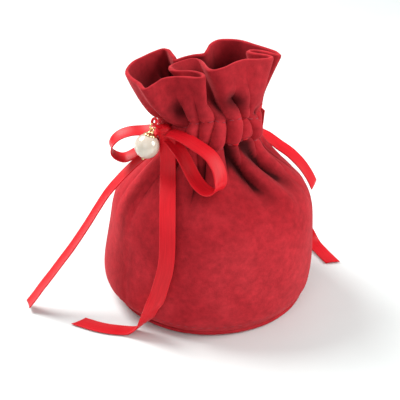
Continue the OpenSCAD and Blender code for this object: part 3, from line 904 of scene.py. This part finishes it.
def threaded_ribbon(name, start_angle, depth):
    """A ribbon round the neck, open where it leaves at start_angle. depth is how far it lies
    inside the middle of the cloth."""
    open_columns = round(COLUMNS * OPEN_ANGLE / 360)
    first = round(COLUMNS * (start_angle - FRONT_SEAM) / 360)
    pick = (first + np.arange(open_columns, COLUMNS - open_columns, 2)) % COLUMNS
    middle = casing_line[pick] - casing_out[pick] * depth
    middle[:, 2] = CASING_MIDDLE
    rise = np.array([-0.5, -0.45, 0.45, 0.5, 0.5, 0.45, -0.45, -0.5]) * RIBBON_WIDTH
    out = np.array([0.08, 0.2, 0.2, 0.08, -0.08, -0.2, -0.2, -0.08])
    points = middle[:, None] + casing_out[pick][:, None] * out[None, :, None]
    points[..., 2] += rise
    rows, columns = points.shape[:2]
    u = np.array([0, 0.05, 0.95, 1, 1, 0.95, 0.05, 0])
    uv = uv_pairs(u[None, :], (np.arange(rows) * 1.6 * MM)[:, None])
    piece = make_mesh(name + "_satin", points.reshape(-1, 3), closed_faces(rows, columns), satin_ribbon, uv)
    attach(piece, "pouch")
    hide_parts(name)
    print(name, "runs round the neck for", round(curve_length(middle), 1), "mm")


threaded_ribbon("front_drawstring_run", FRONT_SEAM, 0.9)
threaded_ribbon("rear_drawstring_run", REAR_SEAM, 1.9)

# %% [markdown]
# ## Knots
# Each knot is one turn of ribbon pulled tight round the others: a puffed band, pinched at its
# edges, with a few creases where the satin is crushed.

# %% Tie the knots
KNOT_SIZE = (3.1, 3.4, 3.5)     # reach outward, sideways and upward
KNOT_OUT = 23.7
KNOT_HEIGHT = 80.3


def knot(name, centre, out, body):
    """A puffed band round centre, facing out."""
    across = np.array([-out[1], out[0], 0.0])
    forward = np.array([out[0], out[1], 0.0])
    rows, columns = 25, 48
    v = np.linspace(-1, 1, rows)[:, None]
    turn = np.linspace(0, TAU, columns, endpoint=False)[None, :]
    puff = (1 - np.abs(v) ** 3.2) ** 0.45 * 0.85 + 0.15 * (1 - v * v)
    crease = 1 + 0.05 * np.sin(5 * turn + 2.2 * v) * (1 - v * v)
    crease = crease - 0.07 * bell((v - 0.25 * np.sin(turn)) / 0.12)
    reach = puff * crease
    points = (np.array(centre) + (reach * np.cos(turn))[..., None] * forward * KNOT_SIZE[0]
              + (reach * np.sin(turn))[..., None] * across * KNOT_SIZE[1]
              + np.broadcast_to(v, reach.shape)[..., None] * np.array([0, 0, KNOT_SIZE[2]]))
    uv = uv_pairs((v + 1) / 2, turn * 3 * MM)
    piece = make_mesh(name + "_satin", points.reshape(-1, 3), closed_faces(rows, columns), satin_ribbon, uv)
    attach(piece, body)
    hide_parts(name)
    print(name, "reaches, mm:", np.round(points.reshape(-1, 3).max(0), 1))


front_out = np.array([math.cos(math.radians(FRONT_SEAM)), math.sin(math.radians(FRONT_SEAM))])
knot("front_bow_knot", (*(front_out * KNOT_OUT), KNOT_HEIGHT), front_out, "front_bow")
knot("rear_knot", (*(-front_out * KNOT_OUT), KNOT_HEIGHT), -front_out, "rear_tie")

# %% [markdown]
# ## Stitches
# Two rows of stitching hold the casing and one row closes the base seam. A stitch is a short
# rounded thread laid along the seam, so one Geometry Nodes tree makes every row: it
# walks along a line at an even spacing and lays one thread at each step.

# %% A tree that sews along a line
def sewing_tree():
    tree = bpy.data.node_groups.new("sew_along_line", "GeometryNodeTree")
    face = tree.interface
    face.new_socket("Geometry", in_out="INPUT", socket_type="NodeSocketGeometry")
    for name in ("Spacing", "Stitch Length", "Thread Radius"):
        face.new_socket(name, in_out="INPUT", socket_type="NodeSocketFloat")
    face.new_socket("Thread", in_out="INPUT", socket_type="NodeSocketMaterial")
    face.new_socket("Geometry", in_out="OUTPUT", socket_type="NodeSocketGeometry")
    start = tree.nodes.new("NodeGroupInput")
    line = tree.nodes.new("GeometryNodeMeshToCurve")
    walk = tree.nodes.new("GeometryNodeResampleCurve")
    walk.mode = "LENGTH"
    bead = tree.nodes.new("GeometryNodeMeshUVSphere")
    bead.inputs["Segments"].default_value = 8
    bead.inputs["Rings"].default_value = 6
    bead.inputs["Radius"].default_value = 1.0
    size = tree.nodes.new("ShaderNodeCombineXYZ")
    halve = tree.nodes.new("ShaderNodeMath")
    halve.operation = "MULTIPLY"
    halve.inputs[1].default_value = 0.5
    tangent = tree.nodes.new("GeometryNodeInputTangent")
    aim = tree.nodes.new("FunctionNodeAlignRotationToVector")
    aim.axis = "X"
    lay = tree.nodes.new("GeometryNodeInstanceOnPoints")
    real = tree.nodes.new("GeometryNodeRealizeInstances")
    smooth = tree.nodes.new("GeometryNodeSetShadeSmooth")
    colour = tree.nodes.new("GeometryNodeSetMaterial")
    end = tree.nodes.new("NodeGroupOutput")
    joins = [
        (start, "Geometry", line, "Mesh"), (line, "Curve", walk, "Curve"),
        (start, "Spacing", walk, "Length"), (walk, "Curve", lay, "Points"),
        (bead, "Mesh", lay, "Instance"), (tangent, "Tangent", aim, "Vector"),
        (aim, "Rotation", lay, "Rotation"), (start, "Stitch Length", halve, 0),
        (halve, 0, size, "X"), (start, "Thread Radius", size, "Y"),
        (start, "Thread Radius", size, "Z"), (size, "Vector", lay, "Scale"),
        (lay, "Instances", real, "Geometry"), (real, "Geometry", smooth, "Geometry"),
        (smooth, "Geometry", colour, "Geometry"), (start, "Thread", colour, "Material"),
        (colour, "Geometry", end, "Geometry"),
    ]
    for source, output, target, entry in joins:
        tree.links.new(source.outputs[output], target.inputs[entry])
    return tree


sewing = sewing_tree()
print("sewing tree:", len(sewing.nodes), "nodes,", len(sewing.links), "links")


def sew(name, line, spacing, length, radius=0.28, closed=True):
    """Stitches along a line of points in millimetres, as a plain mesh."""
    mesh = bpy.data.meshes.new(name)
    count = len(line)
    edges = [(i, (i + 1) % count) for i in range(count if closed else count - 1)]
    mesh.from_pydata((line * MM).tolist(), edges, [])
    guide = show(name + "_guide", mesh)
    modifier = guide.modifiers.new("sew", "NODES")
    modifier.node_group = sewing
    sockets = {s.name: s.identifier for s in sewing.interface.items_tree if s.in_out == "INPUT"}
    modifier[sockets["Spacing"]] = spacing * MM
    modifier[sockets["Stitch Length"]] = length * MM
    modifier[sockets["Thread Radius"]] = radius * MM
    modifier[sockets["Thread"]] = thread
    shown = guide.evaluated_get(bpy.context.evaluated_depsgraph_get())
    sewn = bpy.data.meshes.new_from_object(shown)
    sewn.name = name
    piece = show(name + "_thread", sewn)
    bpy.data.objects.remove(guide)
    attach(piece, "pouch")
    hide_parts(name)
    print(name, len(sewn.polygons), "faces")


# %% Sew the casing and the base seam
lower_row = BODY_ROWS
upper_row = TOP_OF_BODY - 1
base_row = 3
sew("lower_casing_stitches", outer_face[lower_row] + outward[lower_row] * 0.02, 3.4, 2.3)
sew("upper_casing_stitches", outer_face[upper_row] + outward[upper_row] * 0.02, 3.4, 2.3)
sew("base_seam_stitches", outer_face[base_row] - outward[base_row] * 0.12, 3.2, 2.1, 0.24)

# %% [markdown]
# The side seams are sewn from the inside before the pouch is turned, so from outside only a
# groove shows. Their stitches lie within the cloth.

# %% Sew the side seams
SEAM_ROWS = slice(5, BODY_ROWS - 4)
sew("left_seam_stitches", cloth[SEAM_ROWS, 0], 3.0, 2.2, 0.24, closed=False)
sew("right_seam_stitches", cloth[SEAM_ROWS, COLUMNS // 2], 3.0, 2.2, 0.24, closed=False)

# %% [markdown]
# ## Base
# The round base is velvet too. Its edge shows below the seam as a soft rolled lip, because
# the seam allowance inside pushes it out. The card and the lining disc sit on it.

# %% Roll the lip of the base
LIP = [  # radius and height, from the underside round the edge to the top
    (37.2, 0), (38.8, 0.2), (40.0, 0.7), (40.6, 1.4), (40.6, 2.1), (40.2, 2.6),
    (39.8, 2.5), (39.6, 2.1), (39.55, 1.38),
]
LIP_COLUMNS = 180


def base_lip():
    """The velvet base as a solid of revolution, with a slightly uneven edge."""
    turn = np.linspace(0, TAU, LIP_COLUMNS, endpoint=False)
    points = []
    for radius, height in LIP:
        uneven = (0.16 * np.sin(3 * turn + 0.6) + 0.1 * np.sin(7 * turn + 2) + 0.05 * np.sin(19 * turn))
        r = radius + uneven * ease((radius - 39) / 2)
        z = height + 0.12 * np.sin(4 * turn + 1) * ease((height - 0.3) / 2)
        points.append(np.stack([r * np.cos(turn), r * np.sin(turn), np.broadcast_to(z, r.shape)], axis=1))
    faces = closed_faces(len(LIP), LIP_COLUMNS)
    return make_mesh("velvet_base", np.array(points).reshape(-1, 3), faces, velvet_cloth)


velvet_base = base_lip()
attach(velvet_base, "pouch")
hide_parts("base_disc")
print("velvet_base", len(velvet_base.data.polygons), "faces")

# %% [markdown]
# ## Charm
# The charm hangs from a thin loop of ribbon on the knot: a jump ring, a head pin with a bead
# cap, and the pearl that turns on the pin. The metal keeps the CAD pieces; the pearl and its
# cap get finer surfaces.

# %% Place of the charm
HANGER = np.array([-22.139, -18.577, 86.4])
CHARM_DOWN = unit(np.array([-0.29519, -0.23063, -0.92718]))
HANGER_LOOP = 1.3           # radius of the small loop at the top of the hanger
PEARL_DROP = 10.1
PEARL_RADIUS = 5.0
charm_side = unit(np.cross(CHARM_DOWN, np.array([0, 0, 1.0])))
charm_front = unit(np.cross(charm_side, CHARM_DOWN))
print("charm hangs from, mm:", HANGER)


def turned(name, outline, centre, material, columns=64, flutes=0, depth=0.0):
    """A solid turned round the charm's own line: outline has (radius, way down) pairs."""
    turn = np.linspace(0, TAU, columns, endpoint=False)
    points = []
    for radius, down in outline:
        r = radius * (1 + depth * np.cos(flutes * turn))
        points.append(centre + CHARM_DOWN * down + (r * np.cos(turn))[:, None] * charm_side
                      + (r * np.sin(turn))[:, None] * charm_front)
    faces = closed_faces(len(outline), columns)
    return make_mesh(name, np.array(points).reshape(-1, 3), faces, material)


# %% Turn the pearl and its cap
pearl_centre = HANGER + CHARM_DOWN * PEARL_DROP
polar = np.radians(np.linspace(4, 176, 44))
pearl_outline = [(PEARL_RADIUS * math.sin(a), -PEARL_RADIUS * math.cos(a)) for a in polar]
pearl = turned("pearl_bead", pearl_outline, pearl_centre, pearl_coat, columns=72)
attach(pearl, "pearl")
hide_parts("pearl")

CAP = [(0.45, -6.35), (0.85, -6.25), (1.1, -5.9), (1.35, -5.6), (2.0, -5.1), (2.6, -4.62), (2.72, -4.4),
       (2.62, -4.28), (2.3, -4.62), (1.6, -5.0), (0.8, -5.2), (0.45, -5.22)]
cap = turned("gold_bead_cap", CAP, pearl_centre, gold, flutes=8, depth=0.035)
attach(cap, "charm_pin")
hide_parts("bead_cap")
print("pearl centre, mm:", np.round(pearl_centre, 2))

# %% [markdown]
# The hanger is a narrow cord of the same satin: a small round loop at the top with two legs
# that go down into the knot.

# %% Bend the hanger
HANGER_RADIUS = 0.55
HANGER_COLUMNS = 12


def round_cord(name, line):
    """A round satin cord along a line of points."""
    count = len(line)
    ahead = unit(np.gradient(line, axis=0))
    side = unit(np.cross(ahead, np.array([front_out[0], front_out[1], 0.15])))
    face = np.cross(side, ahead)
    turn = np.linspace(0, TAU, HANGER_COLUMNS, endpoint=False)
    points = (line[:, None] + HANGER_RADIUS * np.cos(turn)[None, :, None] * side[:, None]
              + HANGER_RADIUS * np.sin(turn)[None, :, None] * face[:, None])
    faces = closed_faces(count, HANGER_COLUMNS)
    uv = uv_pairs((turn / TAU)[None, :], np.linspace(0, 0.02, count)[:, None])
    return make_mesh(name, points.reshape(-1, 3), faces, satin_ribbon, uv)


foot = np.array([*(front_out * (KNOT_OUT + 1.6)), KNOT_HEIGHT + 2.4])
loop_turn = np.radians(np.linspace(-60, 240, 30))
hanger_loop = [HANGER + HANGER_LOOP * (math.cos(a) * charm_side + math.sin(a) * -CHARM_DOWN)
               for a in loop_turn]
hanger_line = smooth_curve([foot + charm_side * 0.7] + hanger_loop + [foot - charm_side * 0.7], 60)
hanger = round_cord("charm_hanger_satin", hanger_line)
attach(hanger, "front_bow")
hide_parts("charm_hanger")
print("hanger cord, mm:", round(curve_length(hanger_line), 1))

# %% Finish the metal, card, lining and hidden pieces that stay as they are
KEPT = {
    "jump_ring": gold, "pearl_pin": gold, "base_board": card, "base_lining": lining,
    "front_bow_leads": satin_ribbon, "rear_leads": satin_ribbon,
}
for name, finish in KEPT.items():
    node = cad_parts[name]
    node.data.materials.clear()
    node.data.materials.append(finish)
print("kept:", sorted(KEPT))

# %% [markdown]
# ## Stage and light
# A pale table, a big soft light from above and behind on the left, a weaker one from the
# right, a weak one from the front, and an even sky, as on a table by a window.

# %% Table and lights
def plane(name, size, height, material):
    h = size / 2
    corners = [(-h, -h, height), (h, -h, height), (h, h, height), (-h, h, height)]
    return make_mesh(name, corners, [(0, 1, 2, 3)], material)


table_finish = grained("pale_table", 0.5, (0.74, 0.80, 0.81), (0.76, 0.82, 0.83), 30, 0.01 * MM)
table = plane("table", 6000, -0.02, table_finish)


def area_light(name, place, size, power, colour):
    light = bpy.data.lights.new(name, "AREA")
    light.shape = "DISK"
    light.size = size * MM
    light.energy = power
    light.color = colour
    lamp = show(name, light)
    lamp.location = Vector(place) * MM
    aim = Vector((0, 0, 50)) * MM - lamp.location
    lamp.rotation_euler = aim.to_track_quat("-Z", "Y").to_euler()


area_light("window", (-420, 260, 620), 460, 8.2, (1.0, 0.985, 0.96))
area_light("front_fill", (-160, -620, 420), 600, 1.2, (1.0, 0.98, 0.97))
area_light("right_fill", (520, -120, 380), 420, 3.2, (1.0, 0.97, 0.94))

sky = bpy.data.worlds.new("soft_sky")
sky.use_nodes = True
sky.node_tree.nodes["Background"].inputs["Color"].default_value = (1.0, 0.99, 0.975, 1)
sky.node_tree.nodes["Background"].inputs["Strength"].default_value = 0.40
bpy.context.scene.world = sky
bpy.context.scene.view_settings.view_transform = "Standard"
print("lights:", [lamp.name for lamp in bpy.data.lights])
